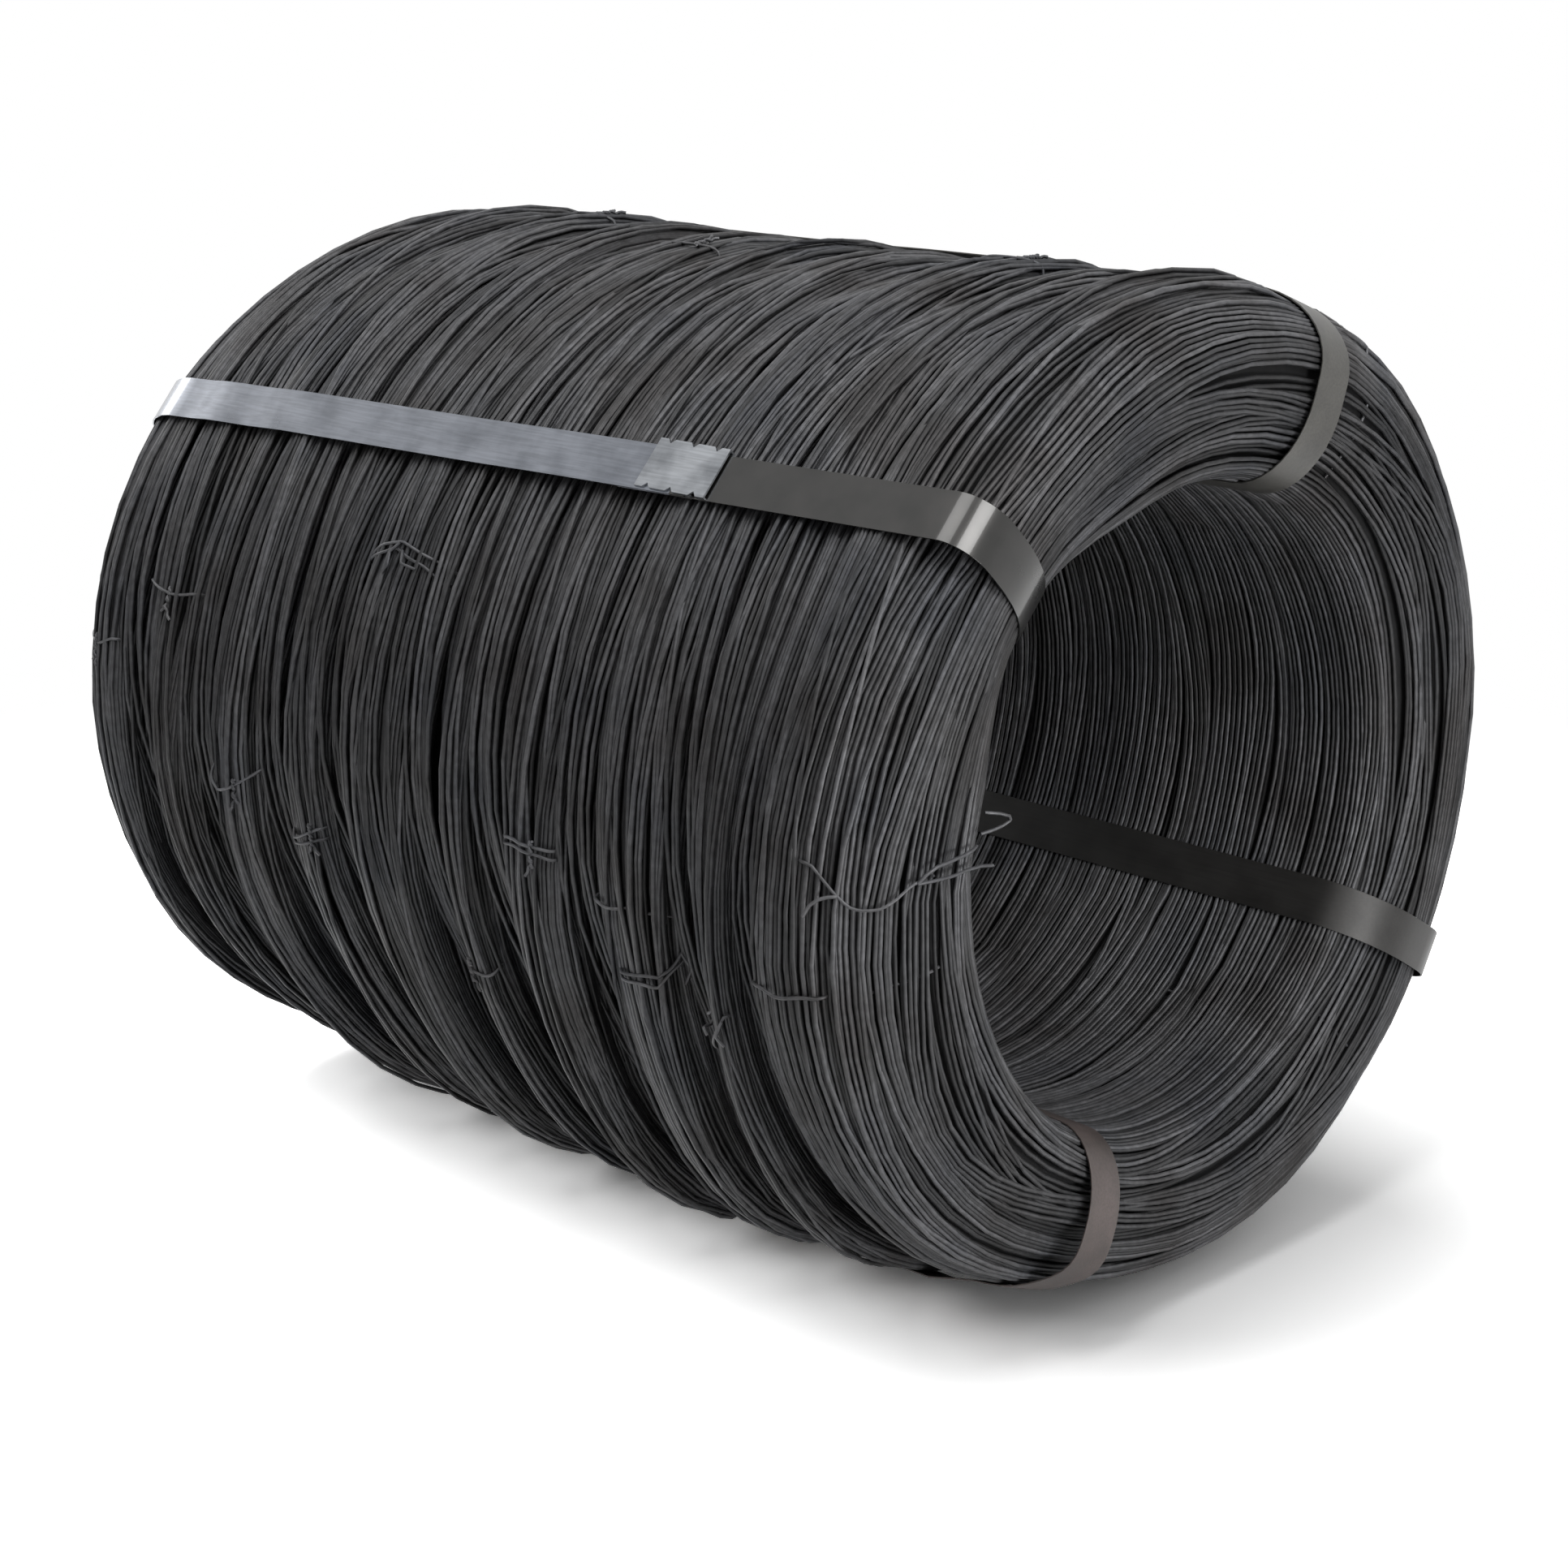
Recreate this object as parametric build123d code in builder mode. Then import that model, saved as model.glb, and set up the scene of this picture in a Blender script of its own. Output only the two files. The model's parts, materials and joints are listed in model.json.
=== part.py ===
"""A bundle of ten small coils of black annealed wire, lying on its side.

The coils stand side by side on one bore, like the slices of a roll. Four flat
steel straps run along the outside, round both ends and back through the bore,
and a notched sleeve closes each strap. Every coil is also bound by its own
three thin wire ties, with their twisted ends laid along the coil.

X runs along the bore, +Z is up, and the bundle rests on the floor at Z = 0.
All sizes are in millimetres. Directions round the bore are angles from +Y
towards +Z, so the camera's side of the bundle is at 180 degrees.
"""

import os
from math import cos, radians, sin, sqrt

from build123d import *

# Bundle
BORE_RADIUS = 162.0          # inside of the coils, where a mandrel or hook goes through
BUNDLE_WALL = 97.0           # from the bore to the outside of the largest coils

# Coils, from the far end to the near one: width along the bore, and how far each
# falls short of the bundle's wall
COIL_WIDTHS = [59.0, 62.0, 58.0, 53.0, 65.0, 47.0, 61.0, 66.0, 46.0, 74.0]
COIL_SHORTFALLS = [2.5, 1.5, 0.5, 2.0, 0.0, 1.0, 1.5, 2.0, 2.5, 0.0]
EDGE_AXIAL = 10.0            # slope from a coil's crown down into the gap beside it
EDGE_RADIAL = 13.0
SHOULDER_AXIAL = 46.0        # rounding over the outer ends of the bundle
SHOULDER_RADIAL = 28.0
SHOULDER_EDGE = 0.35         # where that rounding's two flats meet, as shares of it
SHOULDER_FALL = 0.4
LIP_AXIAL = 17.0             # rounding from the end faces into the bore
LIP_RADIAL = 42.0

# Ties of thin wire, three round each coil
TIE_DIAMETER = 2.2
TIE_CLEARANCE = 0.3          # between a tie and what it lies on
TIE_TAIL = 24.0              # length of the twisted ends
TIE_TWIST_DIAMETER = 4.0     # across the two wires of the twist
TIE_ANGLES = [
    (171.0, 42.0, 312.0),
    (163.0, 54.0, 298.0),
    (184.0, 88.0, 316.0),
    (187.0, 38.0, 306.0),
    (153.0, 96.0, 344.0),
    (198.0, 50.0, 314.0),
    (180.0, 30.0, 302.0),
    (190.0, 86.0, 318.0),
    (195.0, 44.0, 304.0),
    (176.0, 58.0, 310.0),
]

# Straps of flat steel, and the sleeves that close them
STRAP_ANGLES = {"front": 137.2, "top": 70.0, "back": -31.0, "low": -116.0}
STRAP_WIDTH = 25.0
STRAP_THICKNESS = 0.8
STRAP_CLEARANCE = 0.3        # between a strap and the coils that it is pulled down on
STRAP_SHOULDER_RADIUS = 31.0 # inside of a strap's bend over the outer shoulder
STRAP_LIP_RADIUS = 50.0      # inside of its bend into the bore
STRAP_LAP = 70.0             # how far the two ends of a strap lie on each other
SEAL_STATION = 131.0         # middle of each sleeve, from the middle of the bundle
SEAL_LENGTH = 46.0
SEAL_SHEET = 0.9
SEAL_CLEARANCE = 0.2
NOTCH_COUNT = 3              # notches along each edge of a sleeve
NOTCH_DEPTH = 2.4

# Places that follow from the sizes above
bundle_radius = BORE_RADIUS + BUNDLE_WALL
coil_gap = TIE_DIAMETER + 2 * TIE_CLEARANCE
bundle_length = sum(COIL_WIDTHS) + coil_gap * (len(COIL_WIDTHS) - 1)
half_length = bundle_length / 2
last_coil = len(COIL_WIDTHS) - 1
coil_starts = [
    sum(COIL_WIDTHS[:index]) + coil_gap * index - half_length
    for index in range(len(COIL_WIDTHS))
]
edge_drop = min(EDGE_RADIAL, 0.3 * BUNDLE_WALL)
shoulder_drop = min(SHOULDER_RADIAL, 0.3 * BUNDLE_WALL)
lip_rise = min(LIP_RADIAL, 0.45 * BUNDLE_WALL)
strap_run = bundle_radius - min(COIL_SHORTFALLS) + STRAP_CLEARANCE
strap_bore_run = BORE_RADIUS + STRAP_THICKNESS + STRAP_CLEARANCE
strap_end_run = half_length + STRAP_CLEARANCE
shoulder_bend = min(STRAP_SHOULDER_RADIUS, 0.34 * (strap_run - strap_bore_run))
lip_bend = min(STRAP_LIP_RADIUS, 0.56 * (strap_run - strap_bore_run))
tie_bore_run = BORE_RADIUS + TIE_DIAMETER + 2 * TIE_CLEARANCE
seal_opening = STRAP_WIDTH + 2 * SEAL_CLEARANCE
seal_width = seal_opening + 2 * SEAL_SHEET


def coil_radius(index):
    """Outer radius of a coil."""
    return bundle_radius - COIL_SHORTFALLS[index]


def radial_plane(angle):
    """Plane through the bore axis: its x runs along the bore, its y straight out."""
    out = Vector(0, cos(radians(angle)), sin(radians(angle)))
    along = Vector(1, 0, 0)
    return Plane(origin=(0, 0, bundle_radius), x_dir=along, z_dir=along.cross(out))


def wall_points(index):
    """Section of a coil's wall, as points (along the bore, out from its axis)."""
    start, radius = coil_starts[index], coil_radius(index)
    end = start + COIL_WIDTHS[index]
    far = [(start, BORE_RADIUS), (start, radius - edge_drop), (start + EDGE_AXIAL, radius)]
    near = [(end - EDGE_AXIAL, radius), (end, radius - edge_drop), (end, BORE_RADIUS)]
    if index == 0:
        far = [
            (start + LIP_AXIAL, BORE_RADIUS),
            (start, BORE_RADIUS + lip_rise),
            (start, radius - shoulder_drop),
            (start + SHOULDER_EDGE * SHOULDER_AXIAL, radius - SHOULDER_FALL * shoulder_drop),
            (start + SHOULDER_AXIAL, radius),
        ]
    if index == last_coil:
        near = [
            (end - SHOULDER_AXIAL, radius),
            (end - SHOULDER_EDGE * SHOULDER_AXIAL, radius - SHOULDER_FALL * shoulder_drop),
            (end, radius - shoulder_drop),
            (end, BORE_RADIUS + lip_rise),
            (end - LIP_AXIAL, BORE_RADIUS),
        ]
    return far + near


def crown_middle(index):
    """Station of the middle of a coil's crown, where its ties are twisted."""
    start = coil_starts[index] + (SHOULDER_AXIAL if index == 0 else EDGE_AXIAL)
    end = coil_starts[index] + COIL_WIDTHS[index]
    end -= SHOULDER_AXIAL if index == last_coil else EDGE_AXIAL
    return (start + end) / 2


def strap_loop(name, grow):
    """Shape inside a strap's path round the bundle's wall, grown by a distance."""
    top, low = strap_run + grow, strap_bore_run - grow
    with BuildSketch(radial_plane(STRAP_ANGLES[name])) as loop:
        with Locations((0, (top + low) / 2)):
            Rectangle(2 * (strap_end_run + grow), top - low)
        fillet(loop.vertices().group_by(Axis.Y)[-1], shoulder_bend + grow)
        fillet(loop.vertices().group_by(Axis.Y)[0], lip_bend + grow)
    return loop.sketch


def strap_bed(name):
    """What a strap is pulled down on: its loop with two flats for each bend."""
    top, low, end = strap_run, strap_bore_run, strap_end_run
    shoulder_flat, lip_flat = shoulder_bend * (1 - sqrt(0.5)), lip_bend * (1 - sqrt(0.5))
    half = [
        (end - shoulder_bend, top),
        (end - shoulder_flat, top - shoulder_flat),
        (end, top - shoulder_bend),
        (end, low + lip_bend),
        (end - lip_flat, low + lip_flat),
        (end - lip_bend, low),
    ]
    with BuildSketch(radial_plane(STRAP_ANGLES[name])) as bed:
        with BuildLine():
            Polyline(*half, *[(-x, out) for x, out in reversed(half)], close=True)
        make_face()
        offset(amount=-STRAP_CLEARANCE, kind=Kind.INTERSECTION)
    return bed.sketch


def strap_face(name):
    """Plane on the outer run of a strap at its sleeve: its x runs along the bore."""
    angle = STRAP_ANGLES[name]
    out = Vector(0, cos(radians(angle)), sin(radians(angle)))
    origin = Vector(SEAL_STATION, 0, bundle_radius) + out * strap_run
    return Plane(origin=origin, x_dir=(1, 0, 0), z_dir=out)


os.makedirs("parts", exist_ok=True)

# Seats that the straps press into the coils: whatever lies outside a strap's bed
seats = []
for name in STRAP_ANGLES:
    with BuildPart() as seat:
        with BuildSketch(radial_plane(STRAP_ANGLES[name])):
            with Locations((0, BORE_RADIUS + BUNDLE_WALL / 2)):
                Rectangle(bundle_length * 1.1, BUNDLE_WALL * 1.5)
        extrude(amount=STRAP_WIDTH / 2 + STRAP_CLEARANCE, both=True)
        extrude(strap_bed(name), amount=STRAP_WIDTH, both=True, mode=Mode.SUBTRACT)
        # The sleeve is wider than the strap, and its folded underside lies deeper
        with BuildSketch(strap_face(name).offset(-SEAL_SHEET - 2 * SEAL_CLEARANCE)):
            Rectangle(SEAL_LENGTH + 2 * SEAL_CLEARANCE, seal_width + 2 * SEAL_CLEARANCE)
        extrude(amount=BUNDLE_WALL / 2)
    seats.append(seat.part)

# Coils: each wall is turned round the bore
for index, width in enumerate(COIL_WIDTHS):
    middle = coil_starts[index] + width / 2
    with BuildPart() as coil:
        with BuildSketch(Plane.XZ):
            with BuildLine():
                Polyline(*[(x, bundle_radius + out) for x, out in wall_points(index)], close=True)
            make_face()
        revolve(axis=Axis((0, 0, bundle_radius), (1, 0, 0)))
        for seat in seats:
            add(seat, mode=Mode.SUBTRACT)
        for angle in TIE_ANGLES[index]:
            with BuildSketch(radial_plane(angle)):
                with Locations((middle, BORE_RADIUS)):
                    Rectangle(width * 1.2, 2 * (tie_bore_run - BORE_RADIUS))
            extrude(amount=coil_gap / 2, both=True, mode=Mode.SUBTRACT)
    name = f"coil_{index + 1:02d}"
    coil.part.label = name
    export_step(coil.part, f"parts/{name}.step")

# Ties: each follows the section of its coil where it lies
for index, width in enumerate(COIL_WIDTHS):
    middle = coil_starts[index] + width / 2
    with BuildPart() as ties:
        for place, angle in enumerate(TIE_ANGLES[index]):
            top = coil_radius(index)
            for grow, mode in (
                (TIE_CLEARANCE + TIE_DIAMETER, Mode.ADD),
                (TIE_CLEARANCE, Mode.SUBTRACT),
            ):
                with BuildSketch(radial_plane(angle)):
                    with BuildLine():
                        Polyline(*wall_points(index), close=True)
                    make_face()
                    with Locations((middle, (top + tie_bore_run) / 2)):
                        Rectangle(width, top - tie_bore_run, mode=Mode.INTERSECT)
                    offset(amount=grow, kind=Kind.INTERSECTION)
                extrude(amount=TIE_DIAMETER / 2, both=True, mode=mode)
            # The twisted ends lie along the coil, to one side of the tie
            with BuildSketch(radial_plane(angle)):
                with Locations((crown_middle(index), top + TIE_CLEARANCE + TIE_TWIST_DIAMETER / 2)):
                    RegularPolygon(TIE_TWIST_DIAMETER / 2, 6)
            extrude(amount=TIE_TAIL * (-1) ** place)
    name = f"ties_{index + 1:02d}"
    ties.part.label = name
    export_step(ties.part, f"parts/{name}.step")

# Straps and sleeves. Each strap is one strip, and its two ends lie on each other
# in the sleeve. Notches through both edges lock the two together.
for name in STRAP_ANGLES:
    with BuildPart() as notches:
        with BuildSketch(strap_face(name).offset(-STRAP_WIDTH / 2)):
            with GridLocations(SEAL_LENGTH / NOTCH_COUNT, seal_width, NOTCH_COUNT, 2):
                RegularPolygon(NOTCH_DEPTH, 4)
        extrude(amount=STRAP_WIDTH)

    with BuildPart() as strap:
        extrude(strap_loop(name, STRAP_THICKNESS), amount=STRAP_WIDTH / 2, both=True)
        extrude(strap_loop(name, 0.0), amount=STRAP_WIDTH, both=True, mode=Mode.SUBTRACT)
        with BuildSketch(strap_face(name)):
            Rectangle(STRAP_LAP, STRAP_WIDTH)
        extrude(amount=2 * STRAP_THICKNESS)
        add(notches.part, mode=Mode.SUBTRACT)
    strap.part.label = f"strap_{name}"
    export_step(strap.part, f"parts/strap_{name}.step")

    with BuildPart() as seal:
        with BuildSketch(strap_face(name).offset(-SEAL_CLEARANCE - SEAL_SHEET)):
            Rectangle(SEAL_LENGTH, seal_width)
        extrude(amount=2 * (STRAP_THICKNESS + SEAL_CLEARANCE + SEAL_SHEET))
        with BuildSketch(strap_face(name).offset(-SEAL_CLEARANCE)):
            Rectangle(2 * SEAL_LENGTH, seal_opening)
        extrude(amount=2 * (STRAP_THICKNESS + SEAL_CLEARANCE), mode=Mode.SUBTRACT)
        add(notches.part, mode=Mode.SUBTRACT)
    seal.part.label = f"seal_{name}"
    export_step(seal.part, f"parts/seal_{name}.step")
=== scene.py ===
# %% [markdown]
# A bundle of ten small coils of black annealed wire lies on its side. Four flat steel
# straps hold the coils together, and each coil is bound by its own thin wire ties.
# What makes such a bundle look real is its wire: hundreds of turns that wander,
# cross and leave dark gaps. So most of this lesson is about laying turns of wire
# over the rounded section of a coil, as curves with a smooth bevel.

# %% Load the frame
import json
import math
import random

import bmesh
import bpy
import numpy as np
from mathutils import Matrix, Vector


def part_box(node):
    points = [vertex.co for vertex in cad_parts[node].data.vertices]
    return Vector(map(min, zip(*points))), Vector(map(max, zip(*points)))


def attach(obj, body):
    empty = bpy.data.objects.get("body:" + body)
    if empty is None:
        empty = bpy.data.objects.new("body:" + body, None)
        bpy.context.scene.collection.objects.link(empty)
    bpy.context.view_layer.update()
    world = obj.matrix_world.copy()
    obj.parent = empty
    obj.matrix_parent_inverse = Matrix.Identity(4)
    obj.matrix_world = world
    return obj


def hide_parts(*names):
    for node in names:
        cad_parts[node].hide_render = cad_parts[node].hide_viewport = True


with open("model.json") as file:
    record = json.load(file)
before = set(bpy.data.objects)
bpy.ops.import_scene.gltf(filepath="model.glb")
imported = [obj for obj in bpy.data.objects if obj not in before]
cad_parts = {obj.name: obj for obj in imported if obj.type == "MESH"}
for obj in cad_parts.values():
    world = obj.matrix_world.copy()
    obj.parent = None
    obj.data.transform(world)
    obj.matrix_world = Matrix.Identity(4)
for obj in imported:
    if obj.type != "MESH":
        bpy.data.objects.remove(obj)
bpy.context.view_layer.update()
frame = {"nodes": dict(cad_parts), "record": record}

MM = 0.001
bore = frame["record"]["mounts"][0]
AXIS_HEIGHT = bore["pos_m"][2]
BORE_RADIUS = bore["dims"]["r_mm"] * MM
coil_names = sorted(name for name in frame["nodes"] if name.startswith("coil_"))
print("coils:", len(coil_names), "bore axis at", AXIS_HEIGHT, "m")

# %% [markdown]
# The camera stands to the left of the near end and a little above it, at the
# photograph's viewing angle. The light is a studio's: two soft lamps overhead, one on
# the right whose reflection runs over the near ends of the straps, weak ones on the
# left and low before the bore, one for the floor alone, and a pale room all round.

# %% Camera and lamps
CAMERA_PLACE = (1.0954, -1.1274, 0.690)
CAMERA_TILT = 16.856
CAMERA_TURN = 43.857
CAMERA_LENS = 67.15
scene = bpy.context.scene
scene.view_settings.view_transform = "Standard"


def add_camera():
    lens = bpy.data.cameras.new("camera")
    lens.lens = CAMERA_LENS
    lens.sensor_width = 36.0
    camera = bpy.data.objects.new("camera", lens)
    camera.location = CAMERA_PLACE
    camera.rotation_euler = (math.radians(90 - CAMERA_TILT), 0, math.radians(CAMERA_TURN))
    scene.collection.objects.link(camera)
    scene.camera = camera


def add_lamp(name, place, size, power, aim=(0, 0, AXIS_HEIGHT)):
    lamp = bpy.data.lights.new(name, "AREA")
    lamp.shape = "DISK"
    lamp.size = size
    lamp.energy = power
    holder = bpy.data.objects.new(name, lamp)
    holder.location = place
    holder.rotation_euler = (Vector(aim) - Vector(place)).to_track_quat("-Z", "Y").to_euler()
    scene.collection.objects.link(holder)
    return holder


add_camera()
add_lamp("key_lamp", (-0.1, -1.2, 2.6), 1.8, 38)
add_lamp("top_lamp", (-0.6, 0.5, 2.5), 1.8, 16)
side_lamp = add_lamp("side_lamp", (1.9, -0.2, 2.0), 1.6, 66)
add_lamp("left_lamp", (-2.35, -0.1, 1.15), 0.7, 7)
bore_lamp = add_lamp("bore_lamp", (1.4, -0.2, 0.08), 0.5, 20, (-0.1, 0.05, 0.5))
floor_lamp = add_lamp("floor_lamp", (-0.9, -2.35, 1.85), 1.2, 28)
print("lamps:", [light.name for light in bpy.data.lights])

# %% [markdown]
# Colours are written as sRGB hex values, as a designer picks them, and one function
# turns them to the linear values that the shaders use. One more function adds a node
# with its settings and its links, so that a material reads as a short list.


# %% Helpers for materials
def linear(hex_colour):
    """Linear RGBA of an sRGB hex colour."""
    channels = [int(hex_colour[k:k + 2], 16) / 255 for k in (1, 3, 5)]
    return [c / 12.92 if c <= 0.04045 else ((c + 0.055) / 1.055) ** 2.4 for c in channels] + [1.0]


def add_node(tree, kind, settings=(), **inputs):
    """Adds a node. An input is a value, or a node's output to link."""
    node = tree.nodes.new(kind)
    for name, value in dict(settings).items():
        setattr(node, name, value)
    for name, value in inputs.items():
        socket = node.inputs[int(name[1:])] if name[1:].isdigit() else node.inputs[name.replace("_", " ")]
        if isinstance(value, bpy.types.NodeSocket):
            tree.links.new(value, socket)
        else:
            socket.default_value = value
    return node


def new_material(name):
    """An empty node material: its tree and its Principled shader."""
    material = bpy.data.materials.new(name)
    material.use_nodes = True
    tree = material.node_tree
    tree.nodes.clear()
    shader = add_node(tree, "ShaderNodeBsdfPrincipled")
    output = add_node(tree, "ShaderNodeOutputMaterial")
    tree.links.new(shader.outputs[0], output.inputs["Surface"])
    return material, tree, shader


def grain(tree, size, detail=3.0, stretch=(1, 1, 1)):
    """Noise on Object coordinates whose grains are about this large, in metres."""
    place = add_node(tree, "ShaderNodeTexCoord").outputs["Object"]
    scaled = add_node(tree, "ShaderNodeMapping", Vector=place, Scale=[s / size for s in stretch])
    noise = add_node(tree, "ShaderNodeTexNoise", Vector=scaled.outputs[0], Scale=1.0, Detail=detail)
    return noise.outputs["Fac"]


def ramp(tree, value, *stops):
    """Colour ramp from (place, hex colour) stops."""
    node = add_node(tree, "ShaderNodeValToRGB", Fac=value)
    elements = node.color_ramp.elements
    while len(elements) < len(stops):
        elements.new(0.5)
    for element, (place, colour) in zip(elements, stops):
        element.position = place
        element.color = linear(colour)
    return node.outputs["Color"]


def mixed(tree, kind, factor, first, second):
    """Two colours mixed by one of the mix node's ways."""
    node = add_node(tree, "ShaderNodeMix", {"data_type": "RGBA", "blend_type": kind})
    for socket, value in ((0, factor), (6, first), (7, second)):
        if isinstance(value, bpy.types.NodeSocket):
            tree.links.new(value, node.inputs[socket])
        else:
            node.inputs[socket].default_value = value
    return node.outputs[2]


print("helpers ready, mid grey is", round(linear("#808080")[0], 3))

# %% [markdown]
# The photograph's background is pure white, with a soft shadow close under the bundle.
# So for the camera the floor shines back twice what falls on it, which leaves only the
# deepest part of the shadow grey, and further out it melts into the white background.
# Rays off metal see the same background, and other rays meet a plain grey floor. Light
# links keep two lamps off the floor and give it one of its own, so that its shadow can
# be set apart from the light on the wire.

# %% Floor and background
FLOOR_REACH = 30.0
SHADOW_REACH = (0.62, 1.15)


def background_rays(tree):
    """1 for rays that show the background: from the camera, off metal and through glass."""
    rays = add_node(tree, "ShaderNodeLightPath").outputs
    seen = rays["Is Camera Ray"]
    for kind in ("Is Glossy Ray", "Is Transmission Ray"):
        seen = add_node(tree, "ShaderNodeMath", {"operation": "MAXIMUM"}, _0=seen, _1=rays[kind]).outputs[0]
    return seen


def add_floor():
    mesh = bmesh.new()
    bmesh.ops.create_grid(mesh, x_segments=1, y_segments=1, size=FLOOR_REACH)
    data = bpy.data.meshes.new("floor")
    mesh.to_mesh(data)
    mesh.free()
    floor = bpy.data.objects.new("floor", data)
    scene.collection.objects.link(floor)
    material = bpy.data.materials.new("white studio floor")
    material.use_nodes = True
    tree = material.node_tree
    tree.nodes.clear()
    matte = add_node(tree, "ShaderNodeBsdfDiffuse", Color=linear("#8c8c8c"))
    bright = add_node(tree, "ShaderNodeBsdfDiffuse", Color=linear("#ffffff"))
    doubled = add_node(tree, "ShaderNodeAddShader", _0=bright.outputs[0], _1=bright.outputs[0])
    white = add_node(tree, "ShaderNodeEmission", Color=linear("#ffffff"), Strength=1.0)
    place = add_node(tree, "ShaderNodeTexCoord").outputs["Object"]
    away = add_node(tree, "ShaderNodeVectorMath", {"operation": "LENGTH"}, _0=place)
    far = add_node(tree, "ShaderNodeMapRange", {"interpolation_type": "SMOOTHSTEP"},
                   Value=away.outputs["Value"], From_Min=SHADOW_REACH[0], From_Max=SHADOW_REACH[1])
    fade = add_node(tree, "ShaderNodeMixShader", _0=far.outputs[0], _1=doubled.outputs[0],
                    _2=white.outputs[0])
    both = add_node(tree, "ShaderNodeMixShader", _0=background_rays(tree), _1=matte.outputs[0],
                    _2=fade.outputs[0])
    output = add_node(tree, "ShaderNodeOutputMaterial")
    tree.links.new(both.outputs[0], output.inputs["Surface"])
    data.materials.append(material)
    return floor


def tie_light(lamp, thing, state):
    """Links a lamp's light to one thing: EXCLUDE spares it, INCLUDE lights only it."""
    linked = bpy.data.collections.new(lamp.name + " light")
    linked.objects.link(thing)
    linked.collection_objects[0].light_linking.link_state = state
    lamp.light_linking.receiver_collection = linked


def light_room(strength):
    world = bpy.data.worlds.new("pale room")
    scene.world = world
    world.use_nodes = True
    tree = world.node_tree
    tree.nodes.clear()
    room = add_node(tree, "ShaderNodeBackground", Color=linear("#ffffff"), Strength=strength)
    white = add_node(tree, "ShaderNodeBackground", Color=linear("#ffffff"), Strength=1.0)
    both = add_node(tree, "ShaderNodeMixShader", _0=background_rays(tree), _1=room.outputs[0],
                    _2=white.outputs[0])
    output = add_node(tree, "ShaderNodeOutputWorld")
    tree.links.new(both.outputs[0], output.inputs["Surface"])


floor = add_floor()
tie_light(side_lamp, floor, "EXCLUDE")
tie_light(bore_lamp, floor, "EXCLUDE")
tie_light(floor_lamp, floor, "INCLUDE")
light_room(0.36)
print("floor and room ready")

# %% [markdown]
# Black annealed wire is low carbon steel that was heated in a closed pot. It comes out
# with a thin grey-black oxide, a little oily, so it is dark and satin and not bright.
# Every turn catches the light a bit differently. The shader gives each separate turn
# a random shade of its own, and a noise in patches of a few centimetres gives the
# brown and blue hints that the oven leaves.

# %% Wire materials
def wire_material(name, dark, light, roughness, metallic=0.25):
    material, tree, shader = new_material(name)
    turn = add_node(tree, "ShaderNodeNewGeometry").outputs["Random Per Island"]
    shade = ramp(tree, turn, (0.0, dark), (1.0, light))
    patches = ramp(tree, grain(tree, 60 * MM), (0.35, "#b9b4b0"), (0.5, "#ffffff"), (0.7, "#c9cdd4"))
    colour = mixed(tree, "MULTIPLY", 0.8, shade, patches)
    scale = ramp(tree, grain(tree, 4 * MM, detail=4.0), (0.3, "#8c8c8c"), (0.7, "#ffffff"))
    tree.links.new(mixed(tree, "MULTIPLY", 0.6, colour, scale), shader.inputs["Base Color"])
    bump = add_node(tree, "ShaderNodeBump", Height=grain(tree, 1.5 * MM), Strength=0.15, Distance=0.2 * MM)
    tree.links.new(bump.outputs[0], shader.inputs["Normal"])
    shader.inputs["Metallic"].default_value = metallic
    shader.inputs["Roughness"].default_value = roughness
    # Oxide throws back less than bare steel, and the white background is bright
    shader.inputs["Specular IOR Level"].default_value = 0.2
    return material


annealed_wire = wire_material("black annealed steel wire", "#2f2f30", "#545456", 0.5)
# The lower layer's wire is painted darker than the outer turns, as shade under them
under_wire_painted_shade = wire_material("annealed wire under the outer turns", "#242425", "#363637", 0.55)
tie_wire = wire_material("annealed tie wire", "#464648", "#5b5b5d", 0.45)
# The core is painted near black, as shade deep in the coil
core_painted_shade = wire_material("wire deep in the coil, painted near black as shade", "#0e0e0f", "#141415", 0.7)
print("wire materials:", annealed_wire.name, tie_wire.name, core_painted_shade.name)

# %% [markdown]
# A coil's wall is a ring with a flat bore, flat sides and sloped edges at its crown.
# The outermost coils are rounded over the bundle's ends and into the bore. The sizes
# are those of the solids. The corners are then softened, because wire lies in soft
# curves: widely at the crown and the ends, and little in the bore, where the coils lie
# close together. The section can be read at any length along it and any depth below
# the skin.

# %% Coil sections
EDGE_AXIAL, EDGE_RADIAL = 10 * MM, 13 * MM
SHOULDER_AXIAL, SHOULDER_RADIAL = 46 * MM, 28 * MM
LIP_AXIAL, LIP_RADIAL = 17 * MM, 42 * MM
SAMPLE = 1 * MM
CROWN_SOFTENING, BORE_SOFTENING = 9 * MM, 1.5 * MM
GAP_REACH = 20 * MM


def ease(values, low, high):
    """A smooth step from 0 to 1 between two values."""
    share = np.clip((values - low) / (high - low), 0, 1)
    return share * share * (3 - 2 * share)


def soften(ring, size):
    """A closed line of points, averaged over about this length."""
    reach = int(3 * size / SAMPLE)
    spread = np.arange(-reach, reach + 1)
    weights = np.exp(-0.5 * (spread * SAMPLE / size) ** 2)
    return sum(w * np.roll(ring, k, axis=0) for k, w in zip(spread, weights / weights.sum()))


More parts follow.
